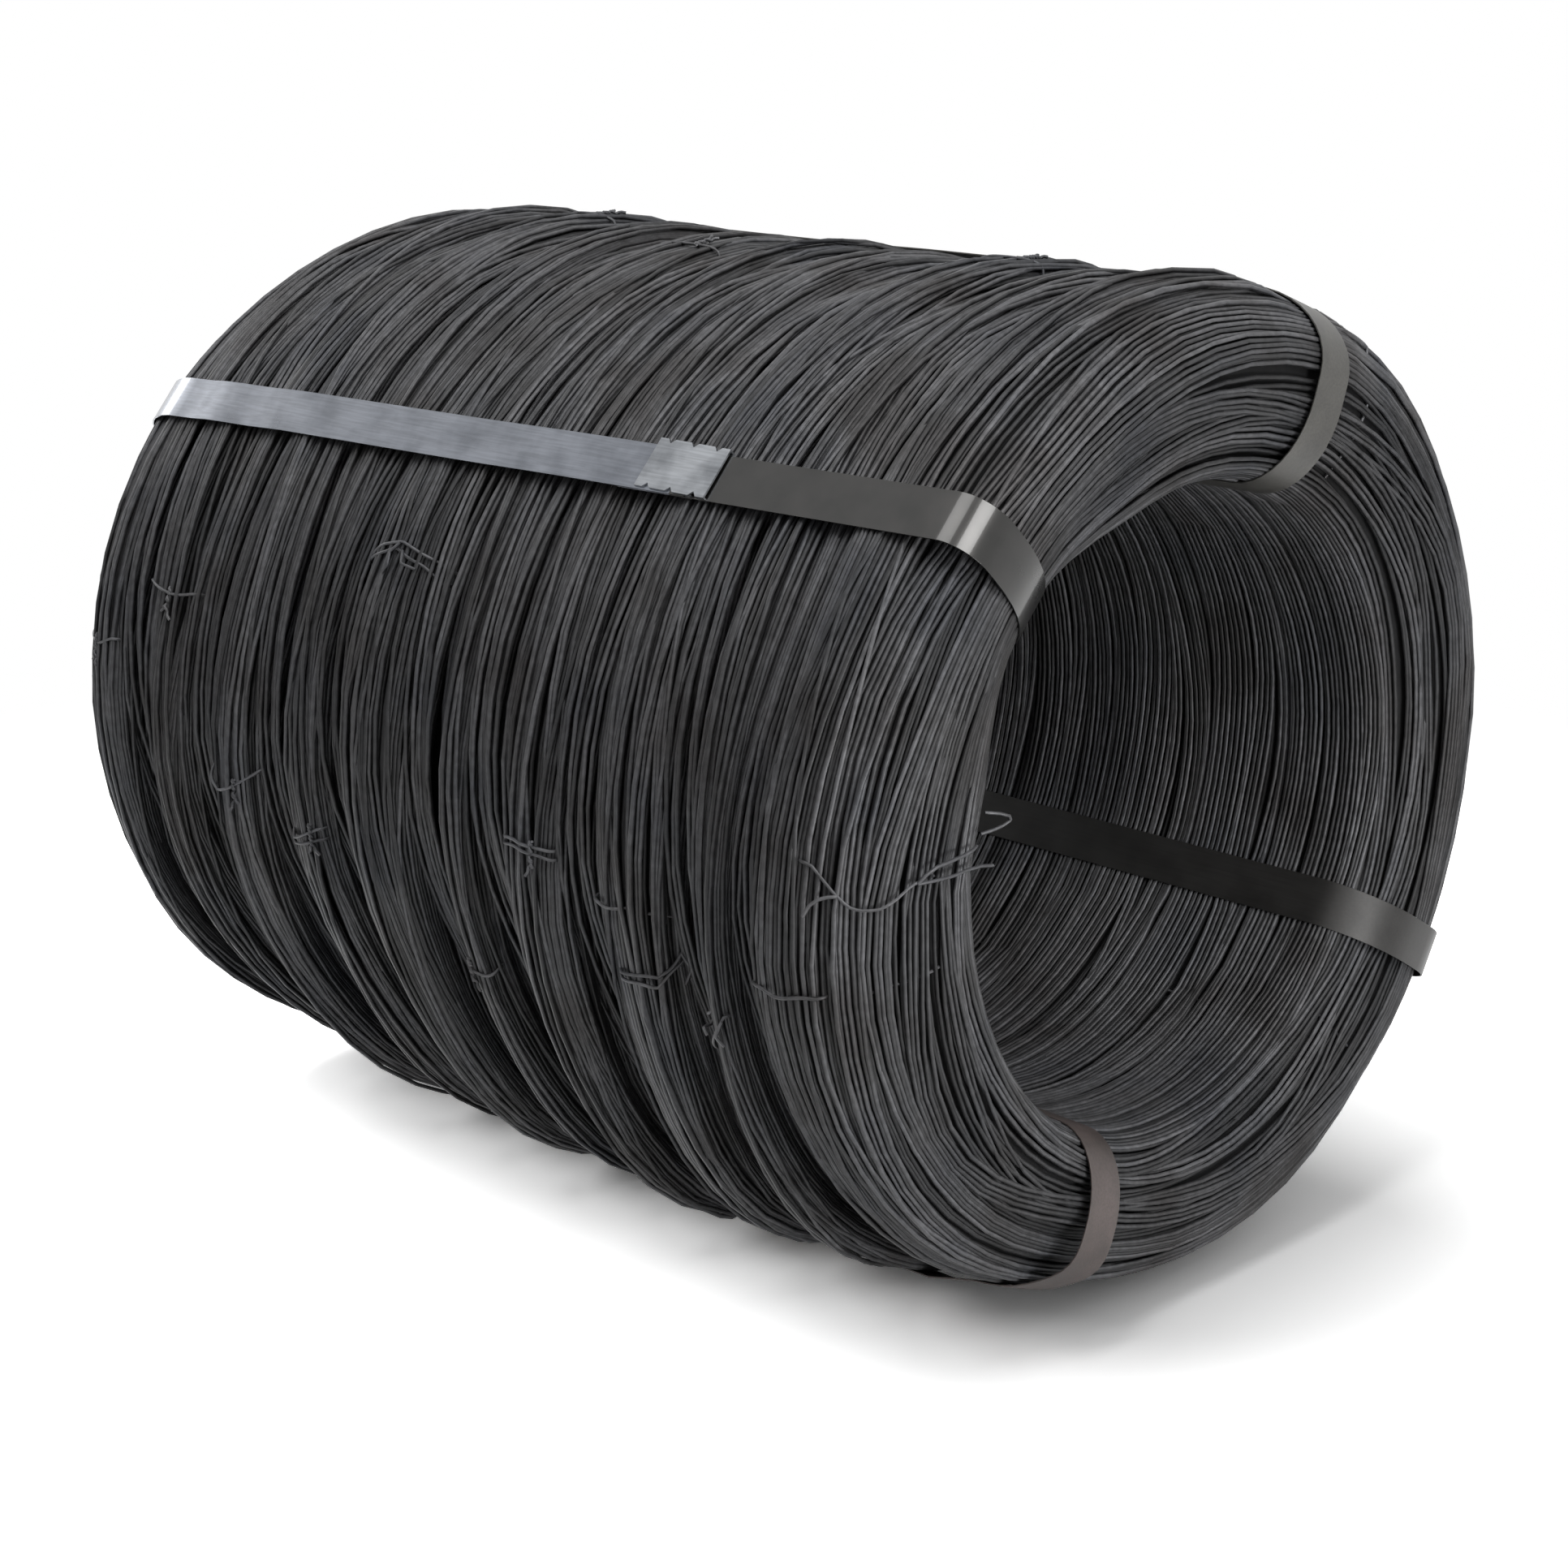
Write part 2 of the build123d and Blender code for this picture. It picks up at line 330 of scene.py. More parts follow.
class Section:
    """A coil's softened section: place by length along it, from its first bore corner."""

    def __init__(self, index):
        low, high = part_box(coil_names[index])
        self.index, self.start, self.end = index, low.x, high.x
        self.radius = (high.z - low.z) / 2
        self.first, self.last = index == 0, index == len(coil_names) - 1
        corners = np.array(self.corners() + self.corners()[:1])
        lengths = np.concatenate([[0], np.cumsum(np.hypot(*np.diff(corners, axis=0).T))])
        places = np.arange(0, lengths[-1], SAMPLE)
        ring = np.stack([np.interp(places, lengths, corners[:, k]) for k in (0, 1)], axis=1)
        outer = ease(ring[:, 1], BORE_RADIUS + 20 * MM, BORE_RADIUS + 55 * MM)
        if self.first:
            outer = np.maximum(outer, 1 - ease(ring[:, 0], self.start + 20 * MM, self.start + 45 * MM))
        if self.last:
            outer = np.maximum(outer, ease(ring[:, 0], self.end - 45 * MM, self.end - 20 * MM))
        wide, close = soften(ring, CROWN_SOFTENING), soften(ring, BORE_SOFTENING)
        wide[:, 1] += (self.radius - wide[:, 1].max()) * ease(wide[:, 1], BORE_RADIUS + 40 * MM, self.radius)
        self.ring = wide * outer[:, None] + close * (1 - outer[:, None])
        ahead = np.roll(self.ring, -1, axis=0) - np.roll(self.ring, 1, axis=0)
        ahead /= np.hypot(*ahead.T)[:, None]
        self.out = np.stack([-ahead[:, 1], ahead[:, 0]], axis=1)
        self.length = len(self.ring) * SAMPLE
        self.crown = self.nearest(((self.start + self.end) / 2, self.radius))

    def corners(self):
        start, end, radius = self.start, self.end, self.radius
        far = [(start, BORE_RADIUS), (start, radius - EDGE_RADIAL), (start + EDGE_AXIAL, radius)]
        near = [(end - EDGE_AXIAL, radius), (end, radius - EDGE_RADIAL), (end, BORE_RADIUS)]
        rounded = [
            (LIP_AXIAL, BORE_RADIUS),
            (0, BORE_RADIUS + LIP_RADIAL),
            (0, radius - SHOULDER_RADIAL),
            (0.35 * SHOULDER_AXIAL, radius - 0.4 * SHOULDER_RADIAL),
            (SHOULDER_AXIAL, radius),
        ]
        if self.first:
            far = [(start + inward, out) for inward, out in rounded]
        if self.last:
            near = [(end - inward, out) for inward, out in reversed(rounded)]
        return far + near

    def nearest(self, point):
        return np.hypot(*(self.ring - point).T).argmin() * SAMPLE

    def at(self, length, depth):
        """Station along the bore and distance from its axis."""
        where = (np.asarray(length) / SAMPLE) % len(self.ring)
        samples = np.arange(len(self.ring) + 1)
        values = []
        for k in (0, 1):
            for table in (self.ring, self.out):
                values.append(np.interp(where, samples, np.append(table[:, k], table[0, k])))
        station, lean, out, rise = values
        return station - lean * depth, out - rise * depth

    def hidden(self):
        """Which samples lie deep in the gap beside the next coil."""
        station, out = self.ring.T
        inner = (out > BORE_RADIUS + 4 * MM) & (out < self.radius - EDGE_RADIAL - GAP_REACH)
        far = (station < self.start + 2 * MM) & (not self.first)
        near = (station > self.end - 2 * MM) & (not self.last)
        return inner & (far | near)

    def shown(self):
        """Stretches of the section that show, as (first length, stretch)."""
        hidden = self.hidden()
        stretches = []
        for first in [k for k in range(len(hidden)) if hidden[k - 1] and not hidden[k]]:
            count = 1
            while not hidden[(first + count) % len(hidden)]:
                count += 1
            stretches.append((first * SAMPLE, count * SAMPLE))
        return stretches


sections = [Section(index) for index in range(len(coil_names))]
print("stretches with wire:", [[round(s / MM) for _, s in section.shown()] for section in sections])

# %% [markdown]
# The straps come before the wire, because the wire gives way to them. Each strap is
# one strip. It starts on top of its own other end, runs to the far end of the bundle,
# through the bore and back over the near end. Its bends are quarter ellipses. The
# front strap lies a little askew, as in the photograph, and the low one is turned
# under the bundle at its far end, where the photograph shows none. The low sleeve
# stays where the solids have it, so this strap passes beside it.

# %% Courses of the straps
STRAP_WIDTH, STRAP_THICKNESS = 25 * MM, 0.8 * MM
LAP_START, LAP_END = 10 * MM, 35 * MM
SLEEVE_STATION = 131 * MM
STRAP_CLEARANCE = 0.3 * MM

# Where a coil is flattened, or bulges: coil, angle and reach round the bore in degrees, depth
DENTS = [
    (1, 185, 45, -4 * MM), (1, 112, 38, 7 * MM), (2, 112, 30, 4 * MM), (3, 236, 22, -8 * MM),
    (4, 236, 22, -10 * MM), (5, 236, 22, -10 * MM), (6, 236, 22, -11 * MM), (7, 236, 22, -13 * MM),
    (8, 232, 22, -12 * MM),
    (9, 228, 22, -7 * MM), (9, 20, 45, -3 * MM), (10, 252, 26, 9 * MM), (10, 20, 50, -7 * MM),
]
bundle_half = max(section.end for section in sections)
bundle_top = max(section.radius for section in sections)


def turned(angles, centre):
    """Smallest turn from an angle to the others, in radians."""
    return (angles - centre + math.pi) % (2 * math.pi) - math.pi


class Strap:
    """Where a strap lies: angles at the far and the near end, and sizes of its bends."""

    def __init__(self, far, near, far_bends, near_bends):
        self.far, self.near = math.radians(far), math.radians(near)
        self.top = bundle_top + STRAP_CLEARANCE
        self.low = BORE_RADIUS + STRAP_CLEARANCE + STRAP_THICKNESS
        far_end, near_end = self.bends(*far_bends) * (-1, 1), self.bends(*near_bends)
        start, stop = SLEEVE_STATION + LAP_START, SLEEVE_STATION - LAP_END
        self.course = np.concatenate([
            self.run(start, far_end[0], 30)[:-1],
            far_end,
            self.run(far_end[-1], near_end[-1], 30)[1:-1],
            near_end[::-1],
            self.run(near_end[0], stop, 12)[1:],
        ])
        self.course[:, 1] -= self.sunk(*self.course.T)

    def bends(self, shoulder_x, shoulder_r, lip_x, lip_r):
        """Over the shoulder and into the bore, at an end of the bundle."""
        end = bundle_half + STRAP_CLEARANCE
        turn = np.linspace(0, math.pi / 2, 11)
        over = (end - shoulder_x * MM * (1 - np.sin(turn)), self.top - shoulder_r * MM * (1 - np.cos(turn)))
        into = (end - lip_x * MM * (1 - np.cos(turn)), self.low + lip_r * MM * (1 - np.sin(turn)))
        return np.concatenate([np.stack(over, axis=1), np.stack(into, axis=1)])

    def run(self, start, stop, count):
        """A straight run between two points, or from or to a station on the outside."""
        start, stop = [np.array((p, self.top)) if np.isscalar(p) else p for p in (start, stop)]
        return start + (stop - start) * np.linspace(0, 1, count)[:, None]

    def sunk(self, station, out):
        """How far the strap follows the dents of the coils below it."""
        total = np.zeros(len(station))
        for coil, degrees, reach, depth in [dent for dent in DENTS if dent[3] > 0]:
            section = sections[coil - 1]
            aside = turned(self.angle(station), math.radians(degrees)) / math.radians(reach)
            along = (station - (section.start + section.end) / 2) / (40 * MM)
            total += depth * np.exp(-aside ** 2) * np.exp(-along ** 4)
        return total * ease(out, BORE_RADIUS + 40 * MM, bundle_top - 10 * MM)

    def angle(self, station):
        share = np.clip((np.asarray(station) / bundle_half + 1) / 2, 0, 1)
        return self.far + (self.near - self.far) * share

    def bed(self):
        """The course in steps of about 3 mm, and the way out of the bundle at each."""
        lengths = np.concatenate([[0], np.cumsum(np.hypot(*np.diff(self.course, axis=0).T))])
        places = np.arange(0, lengths[-1], 3 * MM)
        spots = np.stack([np.interp(places, lengths, self.course[:, k]) for k in (0, 1)], axis=1)
        ahead = np.gradient(spots, axis=0)
        ahead /= np.hypot(*ahead.T)[:, None]
        return spots, np.stack([ahead[:, 1], -ahead[:, 0]], axis=1)


SNUG_BENDS = (50, 38, 34, 46)
straps = {
    "front": Strap(139.6, 136.8, SNUG_BENDS, (17, 20, 50, 70)),
    "top": Strap(70, 70, SNUG_BENDS, SNUG_BENDS),
    "back": Strap(-31, -31, SNUG_BENDS, (38, 34, 34, 46)),
    "low": Strap(-100, -115, SNUG_BENDS, (60, 44, 34, 46)),
}
strap_beds = {name: strap.bed() for name, strap in straps.items()}
print("strap courses:", {name: len(strap.course) for name, strap in straps.items()})

# %% [markdown]
# Each turn of wire is a closed line round the bore. It keeps a length along the
# section and a depth, and both wander as it goes round. Turns that were wound
# together share most of their wander, so they lie as locks of two to nine side by
# side, and locks cross each other at small angles. Whole coils lean and swell a little
# too, and share the wander of the valley between them. Low on the camera's side the
# coils hang slack. Near a strap the turns dip under it, and near a tie they are
# squeezed together. All of that is worked out on arrays of angles, and then each turn
# becomes one closed spline with a bevel of four smooth sides.

# %% How turns lie
WIRE_RADIUS = 1.3 * MM
TIE_ANGLES = [
    (171, 42, 312), (163, 54, 298), (184, 88, 316), (187, 38, 306), (153, 96, 344),
    (198, 50, 314), (180, 30, 302), (190, 86, 318), (195, 44, 304), (176, 58, 310),
]
TIE_PULL, TIE_DIP = 0.10, 1.3 * MM
SIDE_FALL = 2
# Slack coils: where round the bore, how wide in radians, pull to the middle, fall of the sides
SAG_ANGLE = math.radians(228)
SAG_WIDTH, SAG_PULL, SAG_FALL = 0.8, 0.27, 30
draw = random.Random(11)


def turn_angles():
    """Angles of a turn's points, closer together beside the straps."""
    even = np.linspace(0, 2 * math.pi, 56, endpoint=False) + draw.uniform(0, 0.1)
    middles = [(strap.far + strap.near) / 2 for strap in straps.values()]
    dense = [a + step for a in middles for step in (-0.17, -0.11, -0.055, 0.055, 0.11, 0.17)]
    angles = np.sort(np.concatenate([even, np.array(dense)]) % (2 * math.pi))
    return angles[np.append(True, np.diff(angles) > 0.03)]


def waves(sizes, first=1):
    """Random waves round the bore: one of each size, from that many round it."""
    return [(draw.gauss(0, size), first + k, draw.uniform(0, 2 * math.pi)) for k, size in enumerate(sizes)]


def wander(angles, sizes, first=1):
    """How far a line strays on new random waves of these sizes."""
    return follow(angles, waves(sizes, first))


def follow(angles, some_waves):
    """How far a line strays on waves that were drawn before."""
    return sum(size * np.sin(count * angles + phase) for size, count, phase in some_waves)


VALLEY_WANDER = (3.2 * MM, 2.8 * MM, 2.4 * MM, 1.8 * MM, 1.2 * MM)
valleys = [[]] + [waves(VALLEY_WANDER) for _ in sections[1:]] + [[]]
swells = [waves((1.4 * MM, 1.2 * MM, 1.0 * MM)) for _ in sections]
BORE_CLOSING = 2.6 * MM


def lean(section, angles, station, out):
    """Moves a turn with the valleys on both sides of its coil, and with its coil's swell."""
    share = np.clip((station - section.start) / (section.end - section.start), 0, 1)
    outer = ease(out, BORE_RADIUS, section.radius)
    far = follow(angles, valleys[section.index]) if valleys[section.index] else 0
    near = follow(angles, valleys[section.index + 1]) if valleys[section.index + 1] else 0
    station = station + (far * (1 - share) + near * share) * (0.35 + 0.65 * outer)
    station = station + BORE_CLOSING * (share - 0.5) * (1 - outer)
    out = out + follow(angles, swells[section.index]) * outer
    for coil, degrees, reach, depth in DENTS:
        if coil == section.index + 1:
            aside = turned(angles, math.radians(degrees)) / math.radians(reach)
            out = out - depth * outer * np.exp(-aside ** 2)
    return station, out


def press_under_straps(angles, station, out):
    """Moves a turn inside the straps where it passes under them."""
    for name, strap in straps.items():
        spots, outward = strap_beds[name]
        aside = np.abs(turned(angles, strap.angle(station))) * out
        at_lip = (np.abs(station) > bundle_half - 60 * MM) & (out < BORE_RADIUS + 60 * MM)
        reach = np.where(at_lip, 75 * MM, 28 * MM)
        weight = 1 - ease(aside / reach, 0.45 * STRAP_WIDTH / reach, 0.45 * STRAP_WIDTH / reach + 1)
        near = np.flatnonzero(weight > 0)
        if not len(near):
            continue
        away = np.stack([station[near], out[near]], axis=1)[:, None] - spots
        closest = (away ** 2).sum(axis=2).argmin(axis=1)
        over = (away[np.arange(len(near)), closest] * outward[closest]).sum(axis=1)
        push = np.maximum(over + WIRE_RADIUS + 0.3 * MM, 0) * weight[near]
        station[near] -= outward[closest, 0] * push
        out[near] -= outward[closest, 1] * push
    return station, out


def squeeze(section, angles, length, depth):
    """Pulls a turn towards the crown's middle, and down, beside the ties and where a coil is slack."""
    pull, dip = 0.0, 0.0
    for degrees in TIE_ANGLES[section.index]:
        aside = np.abs(turned(angles, math.radians(degrees))) * section.radius
        pull = pull + TIE_PULL * np.exp(-(aside / (60 * MM)) ** 2)
        dip = dip + TIE_DIP * np.exp(-(aside / (12 * MM)) ** 2)
    sag = np.exp(-(turned(angles, SAG_ANGLE) / SAG_WIDTH) ** 2)
    offset = (length - section.crown + section.length / 2) % section.length - section.length / 2
    outside = np.exp(-(np.abs(offset) / (75 * MM)) ** 4)
    side = np.minimum(np.abs(offset) / (section.end - section.start), 0.8)
    depth = depth + dip + (SIDE_FALL + SAG_FALL * sag) * MM * side ** 2 * outside
    return section.crown + offset * (1 - (pull + SAG_PULL * sag) * outside), depth


def place(section, angles, length, depth):
    """Points of a wire at these angles round the bore, lengths along the section and depths."""
    length, depth = squeeze(section, angles, length, depth)
    station, out = lean(section, angles, *section.at(length, depth))
    station, out = press_under_straps(angles, station, out)
    return above_floor(angles, station, out)


def above_floor(angles, station, out):
    """Points at these angles, stations and distances from the axis, none of them below the floor."""
    height = np.maximum(out * np.sin(angles) + AXIS_HEIGHT, WIRE_RADIUS)
    return np.stack([station, out * np.cos(angles), height], axis=1)


def add_spline(curve, points, closed):
    spline = curve.splines.new("POLY")
    spline.points.add(len(points) - 1)
    spline.points.foreach_set("co", np.append(points, np.ones((len(points), 1)), axis=1).ravel())
    spline.use_cyclic_u = closed
    spline.use_smooth = True


print("wire", 2 * WIRE_RADIUS / MM, "mm thick, in", len(turn_angles()), "steps a turn")

# %% [markdown]
# Two layers are enough. The lower one is close and calm and closes the view, and its wire is
# painted darker, as shade under the outer turns. The upper one is the wild one, in locks with
# gaps between them, through which the lower layer shows. A few strays cross over all, and some
# turns have slipped into the valley between a coil and the next. Below is a core, spun from the
# same section and painted near black as shade, so that no light comes through a coil. Between two coils a
# little still does.

# %% Wind the coils
UPPER_PITCH, LOWER_PITCH = 3.05 * MM, 3.3 * MM
LOWER_DEPTH = 4.0 * MM
LOWER_WANDER = (1.4 * MM, 1.0 * MM, 0.8 * MM, 0.6 * MM)
CORE_DEPTH = 7 * MM
STRAYS = 9
LOCK_WANDER = (3.0 * MM, 3.0 * MM, 2.6 * MM, 2.2 * MM, 1.8 * MM, 1.4 * MM, 1.0 * MM)
BRIDGE_TURNS, BRIDGE_LOCK = 8, 4
# How deep the turns in a valley lie round the bore: degrees, depth
BRIDGE_DEPTHS = [
    (0, 9 * MM), (60, 8 * MM), (95, 8 * MM), (112, 3.5 * MM), (162, 3.5 * MM), (180, 8 * MM), (200, 20 * MM),
    (265, 24 * MM), (300, 9 * MM), (360, 9 * MM),
]


def wire_curve(name, radius, material):
    curve = bpy.data.curves.new(name, "CURVE")
    curve.dimensions = "3D"
    curve.bevel_depth = radius
    curve.bevel_resolution = 0
    curve.use_fill_caps = True
    curve.materials.append(material)
    return curve


def add_piece(data, node=None):
    """Links a piece that rides on the bundle, in place of a node or beside it."""
    piece = bpy.data.objects.new(data.name, data)
    scene.collection.objects.link(piece)
    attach(piece, "root")
    if node:
        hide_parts(node)
    return piece


def wind_lower(section):
    curve = wire_curve(coil_names[section.index] + "_under", WIRE_RADIUS, under_wire_painted_shade)
    for first, stretch in section.shown():
        for k in range(int(stretch / LOWER_PITCH)):
            angles = turn_angles()
            length = first + (k + 0.5) * LOWER_PITCH + wander(angles, LOWER_WANDER)
            depth = LOWER_DEPTH + wander(angles, (0.4 * MM, 0.4 * MM))
            add_spline(curve, place(section, angles, length, depth), True)
    add_piece(curve)
    return len(curve.splines)


def bridge_valley(curve, section):
    """Turns that slipped into the valley between a coil and the next one."""
    degrees, depths = np.array(BRIDGE_DEPTHS).T
    for k in range(BRIDGE_TURNS):
        angles = turn_angles()
        if k % BRIDGE_LOCK == 0:
            path = waves((2.5 * MM, 2.5 * MM, 2.2 * MM, 2 * MM, 1.5 * MM))
        own = wander(angles, (1.0 * MM, 1.0 * MM, 1.0 * MM, 0.8 * MM))
        station = section.end + follow(angles, valleys[section.index + 1])
        station = station + (k - (BRIDGE_TURNS - 1) / 2) * UPPER_PITCH
        station += follow(angles, path) + own
        depth = np.interp(np.degrees(angles) % 360, degrees, depths)
        depth += np.abs(wander(angles, (1 * MM, 1 * MM, 1 * MM)))
        out = section.radius - depth
        station, out = press_under_straps(angles, station, out)
        add_spline(curve, above_floor(angles, station, out), True)


def wind_upper(section):
    curve = wire_curve(coil_names[section.index] + "_wire", WIRE_RADIUS, annealed_wire)
    for first, stretch in section.shown():
        start = first
        while start < first + stretch:
            count = draw.randint(2, 9)
            angles = turn_angles()
            path = wander(angles, LOCK_WANDER)
            middle = section.at(start + count * UPPER_PITCH / 2, 0)[1]
            wildness = 0.4 + 0.6 * ease(middle, BORE_RADIUS + 5 * MM, BORE_RADIUS + 40 * MM)
            lift = wildness * np.abs(wander(angles, (0.8 * MM, 0.8 * MM, 0.6 * MM), 2))
            breath = 1 + wildness * wander(angles, (0.05, 0.05, 0.05))
            for k in range(count):
                across = (k - (count - 1) / 2) * UPPER_PITCH * breath
                own = wander(angles, (0.3 * MM, 0.3 * MM, 0.3 * MM, 0.25 * MM, 0.25 * MM, 0.2 * MM), 2)
                length = start + count * UPPER_PITCH / 2 + across + (path + own) * wildness
                depth = WIRE_RADIUS + lift + np.abs(wander(angles, (0.3 * MM, 0.3 * MM, 0.3 * MM), 3))
                add_spline(curve, place(section, angles, length, depth), True)
            start += count * UPPER_PITCH + draw.uniform(-1.5, 5 * wildness) * MM
    for _ in range(STRAYS):
        angles = turn_angles()
        length = section.crown + draw.uniform(-32, 32) * MM
        length += wander(angles, (5 * MM, 4.5 * MM, 4 * MM, 3 * MM, 2 * MM, 1.2 * MM))
        depth = draw.uniform(-0.4, 0.6) * MM + wander(angles, (0.5 * MM, 0.5 * MM))
        add_spline(curve, place(section, angles, length, depth), True)
    if not section.last:
        bridge_valley(curve, section)
    add_piece(curve, coil_names[section.index])
    return len(curve.splines)


def spin_core(section):
    """The inside of a coil, painted near black as shade, which closes the gaps between the turns."""
    mesh = bmesh.new()
    kept_length = mesh.verts.layers.float.new("length along the section")
    corners = []
    for length in np.linspace(0, section.length, 36, endpoint=False):
        station, out = section.at(length, CORE_DEPTH)
        corners.append(mesh.verts.new((station, 0, AXIS_HEIGHT + out)))
        corners[-1][kept_length] = length
    rim = [mesh.edges.new((corners[k - 1], corners[k])) for k in range(len(corners))]
    bmesh.ops.spin(mesh, geom=corners + rim, cent=(0, 0, AXIS_HEIGHT), axis=(1, 0, 0), dvec=(0, 0, 0),
                   angle=2 * math.pi, steps=64, use_merge=True, use_duplicate=False)
    bmesh.ops.remove_doubles(mesh, verts=mesh.verts, dist=0.01 * MM)
    lengths = np.array([vert[kept_length] for vert in mesh.verts])
    angles = np.array([math.atan2(vert.co.z - AXIS_HEIGHT, vert.co.y) for vert in mesh.verts])
    for vert, spot in zip(mesh.verts, place(section, angles, lengths, CORE_DEPTH)):
        vert.co = spot
    bmesh.ops.recalc_face_normals(mesh, faces=mesh.faces)
    for face in mesh.faces:
        face.smooth = True
    data = bpy.data.meshes.new(coil_names[section.index] + "_core")
    mesh.to_mesh(data)
    mesh.free()
    data.materials.append(core_painted_shade)
    add_piece(data)


lower_turns = [wind_lower(section) for section in sections]
upper_turns = [wind_upper(section) for section in sections]
for section in sections:
    spin_core(section)
print("upper turns:", upper_turns, "lower turns:", lower_turns, "in all", sum(upper_turns + lower_turns))

# %% [markdown]
# The straps are flat rolled steel. The one in front is bright zinc up to its sleeve, and dark
# behind it. The others share one dark strapping in copies: the top one lighter, as painted light,
# the back one darker, as painted shade in the bore, and the low one brown. Flat rolled zinc shows soft
# mottled patches and fine lines along the strip, which soften its highlights.

# %% Strap materials
def strap_material(name, base, patch, metallic, roughness, bump_size=0.25):
    material, tree, shader = new_material(name)
    mottle = grain(tree, 22 * MM, detail=5.0)
    colour = ramp(tree, mottle, (0.35, patch), (0.6, base))
    lines = ramp(tree, grain(tree, 1.2 * MM, stretch=(0.05, 1, 1)), (0.35, "#d8d8d8"), (0.65, "#ffffff"))
    tree.links.new(mixed(tree, "MULTIPLY", 0.7, colour, lines), shader.inputs["Base Color"])
    rough = add_node(tree, "ShaderNodeMapRange", Value=mottle, To_Min=roughness - 0.06,
                     To_Max=roughness + 0.1)
    tree.links.new(rough.outputs[0], shader.inputs["Roughness"])
    bump = add_node(tree, "ShaderNodeBump", Height=grain(tree, 40 * MM), Strength=bump_size, Distance=1 * MM)
    tree.links.new(bump.outputs[0], shader.inputs["Normal"])
    shader.inputs["Metallic"].default_value = metallic
    return material, tree, shader


def strap_bright_to_sleeve(name):
    """Bright zinc up to the sleeve, and dark from there to the near end."""
    material, tree, shader = strap_material(name, "#787c84", "#666a72", 0.9, 0.28, 0.04)
    bright = shader.inputs["Base Color"].links[0].from_socket
    dark = ramp(tree, grain(tree, 18 * MM), (0.3, "#2b2b2a"), (0.7, "#343332"))
    place = add_node(tree, "ShaderNodeTexCoord").outputs["Object"]
    station = add_node(tree, "ShaderNodeSeparateXYZ", Vector=place).outputs["X"]
    behind = add_node(tree, "ShaderNodeMath", {"operation": "GREATER_THAN"}, _0=station,
                      _1=SLEEVE_STATION)
    tree.links.new(mixed(tree, "MIX", behind.outputs[0], bright, dark), shader.inputs["Base Color"])
    shader.inputs["Coat Weight"].default_value = 0.5
    shader.inputs["Coat Roughness"].default_value = 0.08
    return material


bright_strap = strap_bright_to_sleeve("galvanised strapping, darkened at one end")
# The back strap's copy is painted darker as shade in the bore, and the top strap's copy lighter as light on
# top
dark_strap_painted_shade = strap_material("dark strapping, painted darker as shade in the bore", "#282726", "#222120", 0.4, 0.38)[0]
grey_strap_painted_light = strap_material("grey strapping, painted lighter as light on top", "#454441", "#3b3a38", 0.4, 0.4)[0]
brown_strap = strap_material("strapping with a brown scale", "#473f3d", "#3a3432", 0.4, 0.45)[0]
sleeve_steel = strap_material("pressed sleeve steel", "#94979b", "#75787c", 0.9, 0.33)[0]
print("strap materials:", bright_strap.name, dark_strap_painted_shade.name, sleeve_steel.name)

# %% [markdown]
# A strap is a strip between two rims, bridged, and then thickened and given small round
# edges by modifiers. The sleeves stay those of the solids and only get their material.


# %% Straps
def add_strap(name, material):
    strap = straps[name]
    station, out = strap.course.T
    # The first points lie on top of the strap's other end, and then it comes down
    lift = STRAP_THICKNESS * 1.2 * ease(-np.arange(len(station)), -12, -6)
    angle = strap.angle(station)
    mesh = bmesh.new()
    rims = []
    for side in (-0.5, 0.5):
        across = side * STRAP_WIDTH
        depths = (out + lift) * np.cos(angle) - across * np.sin(angle)
        heights = (out + lift) * np.sin(angle) + across * np.cos(angle) + AXIS_HEIGHT
        rim = [mesh.verts.new(spot) for spot in zip(station, depths, heights)]
        rims.append([mesh.edges.new(pair) for pair in zip(rim, rim[1:])])
    bmesh.ops.bridge_loops(mesh, edges=rims[0] + rims[1])
    bmesh.ops.recalc_face_normals(mesh, faces=mesh.faces)
    for face in mesh.faces:
        face.smooth = True
    data = bpy.data.meshes.new(f"strap_{name}_band")
    mesh.to_mesh(data)
    mesh.free()
    data.materials.append(material)
    band = add_piece(data, f"strap_{name}")
    thick = band.modifiers.new("thickness", "SOLIDIFY")
    thick.thickness = STRAP_THICKNESS
    thick.offset = 1.0
    edges = band.modifiers.new("round edges", "BEVEL")
    edges.width = 0.15 * MM
    edges.segments = 1
    edges.limit_method = "ANGLE"
    edges.harden_normals = True
    return band


def dress(node, material):
    for slot in frame["nodes"][node].material_slots:
        slot.material = material


bands = [
    add_strap("front", bright_strap),
    add_strap("top", grey_strap_painted_light),
    add_strap("back", dark_strap_painted_shade),
    add_strap("low", brown_strap),
]
for name in straps:
    dress(f"seal_{name}", sleeve_steel if name == "front" else dark_strap_painted_shade)
print("straps:", [band.name for band in bands])

# %% [markdown]
# The ties are single or double strands of thin wire, pulled round the coil's section
# and twisted on its crown. Beside the crown they sink out of sight between the turns,
# and some have loose ends that stick out.

# %% Ties
TIE_RADIUS = 0.9 * MM
TIE_SINKING = 6 * MM
